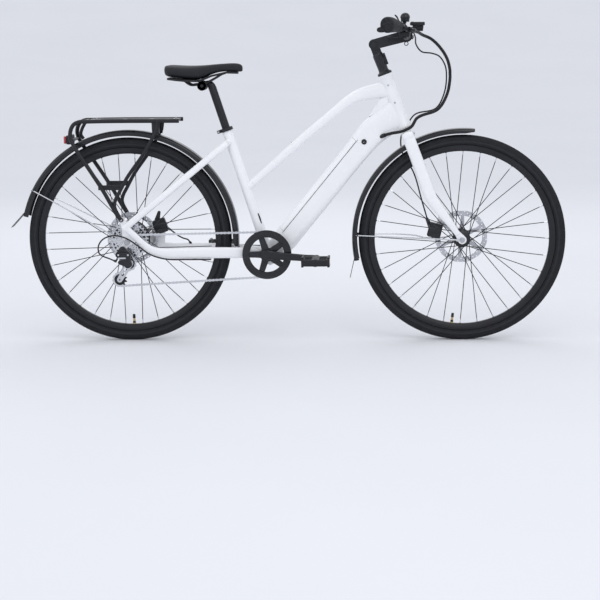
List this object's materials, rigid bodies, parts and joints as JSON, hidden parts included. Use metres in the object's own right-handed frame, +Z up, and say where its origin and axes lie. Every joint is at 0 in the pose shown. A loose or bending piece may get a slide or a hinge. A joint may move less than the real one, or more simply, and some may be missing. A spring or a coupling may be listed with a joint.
{
  "type": "electric bicycle",
  "caption": "White step-through electric bicycle with hub motor, down tube battery, rear rack, mudguards, disc brakes, derailleur and adjustable bar.",
  "frame": {"origin": "middle of the overall box, on the floor", "axes": "+X forwards, +Y to the bicycle's left, +Z up"},
  "size_m": [1.8994, 0.65, 1.0968],
  "materials": {
    "white_paint": "glossy white enamel",
    "black_plastic": "satin black",
    "black_metal": "satin black",
    "rubber": "matt black",
    "tyre": "matt black",
    "silver": "polished",
    "steel": "brushed",
    "red_lens": "clear red",
    "vinyl": "fine grained black"
  },
  "bodies": {
    "frame": {"frame": "white_paint", "seat_collar": "black_metal", "rack": "black_metal", "tail_light": "black_plastic", "tail_lens": "red_lens", "mudguard_rear": "black_plastic", "axle_rear": "steel", "caliper_rear": "black_metal", "derailleur_body": "black_metal", "chain": "silver", "control_loop_lower": "rubber", "rear_brake_hose": "rubber", "shift_housing": "rubber"},
    "battery": {"battery": "white_paint"},
    "lock": {"battery_lock": "steel"},
    "post": {"seatpost": "black_metal"},
    "saddle": {"saddle_base": "black_plastic", "saddle_pad": "vinyl"},
    "steering": {"fork": "white_paint", "stem_riser": "black_metal", "mudguard_front": "black_plastic", "axle_front": "steel", "caliper_front": "black_metal", "brake_cable_front": "rubber"},
    "bar": {"stem_arm": "black_metal", "handlebar": "black_metal", "grip_left": "rubber", "grip_right": "rubber", "brake_bracket_left": "black_metal", "brake_bracket_right": "black_metal", "bell": "black_metal", "shifter": "black_plastic", "display": "black_plastic", "control_loop_upper": "rubber"},
    "lever_left": {"brake_lever_left": "black_metal"},
    "lever_right": {"brake_lever_right": "black_metal"},
    "bell_thumb": {"bell_lever": "black_metal"},
    "shift_thumb": {"shifter_lever": "black_plastic"},
    "key_minus": {"key_minus": "rubber"},
    "key_plus": {"key_plus": "rubber"},
    "arm_front": {"caliper_arm_front": "black_metal"},
    "arm_rear": {"caliper_arm_rear": "black_metal"},
    "wheel_front": {"tyre_front": "tyre", "rim_front": "black_metal", "hub_front": "black_metal", "rotor_front": "steel"},
    "wheel_rear": {"tyre_rear": "tyre", "rim_rear": "black_metal", "motor_hub": "black_metal", "rotor_rear": "steel"},
    "cassette": {"cassette": "black_metal"},
    "crank": {"chainring": "black_metal", "crank_right": "black_metal", "crank_left": "black_metal"},
    "pedal_right": {"pedal_right": "black_plastic"},
    "pedal_left": {"pedal_left": "black_plastic"},
    "mech_link": {"derailleur_link": "black_metal"},
    "mech_cage": {"derailleur_cage": "silver"},
    "jockey_upper": {"jockey_upper": "black_plastic"},
    "jockey_lower": {"jockey_lower": "black_plastic"}
  },
  "joints": [
    {"name": "battery_lift", "type": "slide", "parent": "frame", "child": "battery", "axis": [-0.7721, 0, 0.6355], "range_m": [0, 0.06]},
    {"name": "lock_turn", "type": "hinge", "parent": "frame", "child": "lock", "pos_m": [0.26879, -0.0312, 0.68253], "axis": [0, -1, 0], "range_deg": [0, 90]},
    {"name": "post_slide", "type": "slide", "parent": "frame", "child": "post", "axis": [-0.3057, 0, 0.9521], "range_m": [-0.08, 0.05]},
    {"name": "saddle_tilt", "type": "hinge", "parent": "post", "child": "saddle", "pos_m": [-0.27708, 0, 0.87498], "axis": [0, 1, 0], "range_deg": [-8, 8]},
    {"name": "steer_turn", "type": "hinge", "parent": "frame", "child": "steering", "pos_m": [0.40575, 0, 0.7285], "axis": [-0.3469, 0, 0.9379], "range_deg": [-60, 60], "deforming": ["control_loop_lower"]},
    {"name": "bar_tilt", "type": "hinge", "parent": "steering", "child": "bar", "pos_m": [0.30305, 0, 1.00612], "axis": [0, -1, 0], "range_deg": [-15, 40], "deforming": ["control_loop_upper", "brake_cable_front"]},
    {"name": "lever_left_pull", "type": "hinge", "parent": "bar", "child": "lever_left", "pos_m": [0.42328, 0.174, 1.05299], "axis": [0, 0, 1], "range_deg": [0, 18], "stiffness_Nm_per_rad": 1},
    {"name": "lever_right_pull", "type": "hinge", "parent": "bar", "child": "lever_right", "pos_m": [0.42328, -0.174, 1.05299], "axis": [0, 0, -1], "range_deg": [0, 18], "stiffness_Nm_per_rad": 1},
    {"name": "arm_front_pull", "type": "hinge", "parent": "steering", "child": "arm_front", "pos_m": [0.4997, 0, 0.37], "axis": [0, -1, 0], "range_deg": [0, 20]},
    {"name": "arm_rear_pull", "type": "hinge", "parent": "frame", "child": "arm_rear", "pos_m": [-0.4573, 0, 0.401], "axis": [0, -1, 0], "range_deg": [0, 20]},
    {"name": "bell_push", "type": "hinge", "parent": "bar", "child": "bell_thumb", "pos_m": [0.38705, -0.141, 1.08073], "axis": [0, 1, 0], "range_deg": [0, 20], "stiffness_Nm_per_rad": 0.02},
    {"name": "shift_push", "type": "hinge", "parent": "bar", "child": "shift_thumb", "pos_m": [0.40325, -0.1585, 1.03029], "axis": [0, 0, 1], "range_deg": [0, 25], "stiffness_Nm_per_rad": 0.05},
    {"name": "key_minus_press", "type": "slide", "parent": "bar", "child": "key_minus", "axis": [0, 0, -1], "range_m": [0, 0.0008], "stiffness_N_per_m": 400},
    {"name": "key_plus_press", "type": "slide", "parent": "bar", "child": "key_plus", "axis": [0, 0, -1], "range_m": [0, 0.0008], "stiffness_N_per_m": 400},
    {"name": "wheel_front_spin", "type": "hinge", "parent": "steering", "child": "wheel_front", "pos_m": [0.5987, 0, 0.351], "axis": [0, 1, 0], "continuous": true},
    {"name": "wheel_rear_spin", "type": "hinge", "parent": "frame", "child": "wheel_rear", "pos_m": [-0.5393, 0, 0.351], "axis": [0, 1, 0], "continuous": true},
    {"name": "crank_spin", "type": "hinge", "parent": "frame", "child": "crank", "pos_m": [-0.0633, 0, 0.304], "axis": [0, 1, 0], "continuous": true},
    {"name": "pedal_right_spin", "type": "hinge", "parent": "crank", "child": "pedal_right", "pos_m": [0.10622, 0, 0.29125], "axis": [0, 1, 0], "continuous": true},
    {"name": "pedal_left_spin", "type": "hinge", "parent": "crank", "child": "pedal_left", "pos_m": [-0.23282, 0, 0.31675], "axis": [0, 1, 0], "continuous": true},
    {"name": "cassette_spin", "type": "hinge", "parent": "frame", "child": "cassette", "pos_m": [-0.5393, 0, 0.351], "axis": [0, 1, 0], "continuous": true},
    {"name": "mech_shift", "type": "slide", "parent": "frame", "child": "mech_link", "axis": [0, 0.8, -0.6], "range_m": [0, 0.04], "stiffness_N_per_m": 150, "deforming": ["chain"]},
    {"name": "mech_swing", "type": "hinge", "parent": "mech_link", "child": "mech_cage", "pos_m": [-0.5371, 0, 0.2757], "axis": [0, 1, 0], "range_deg": [-20, 30], "stiffness_Nm_per_rad": 0.5, "deforming": ["chain"]},
    {"name": "jockey_upper_spin", "type": "hinge", "parent": "mech_cage", "child": "jockey_upper", "pos_m": [-0.5371, 0, 0.2757], "axis": [0, 1, 0], "continuous": true},
    {"name": "jockey_lower_spin", "type": "hinge", "parent": "mech_cage", "child": "jockey_lower", "pos_m": [-0.5699, 0, 0.2204], "axis": [0, 1, 0], "continuous": true}
  ],
  "couplings": [
    {"joint": "arm_front_pull", "follows": "lever_left_pull", "ratio": 1.1},
    {"joint": "arm_rear_pull", "follows": "lever_right_pull", "ratio": 1.1},
    {"joint": "cassette_spin", "follows": "crank_spin", "ratio": 3.4545},
    {"joint": "jockey_upper_spin", "follows": "crank_spin", "ratio": -3.4545},
    {"joint": "jockey_lower_spin", "follows": "crank_spin", "ratio": 3.4545}
  ]
}
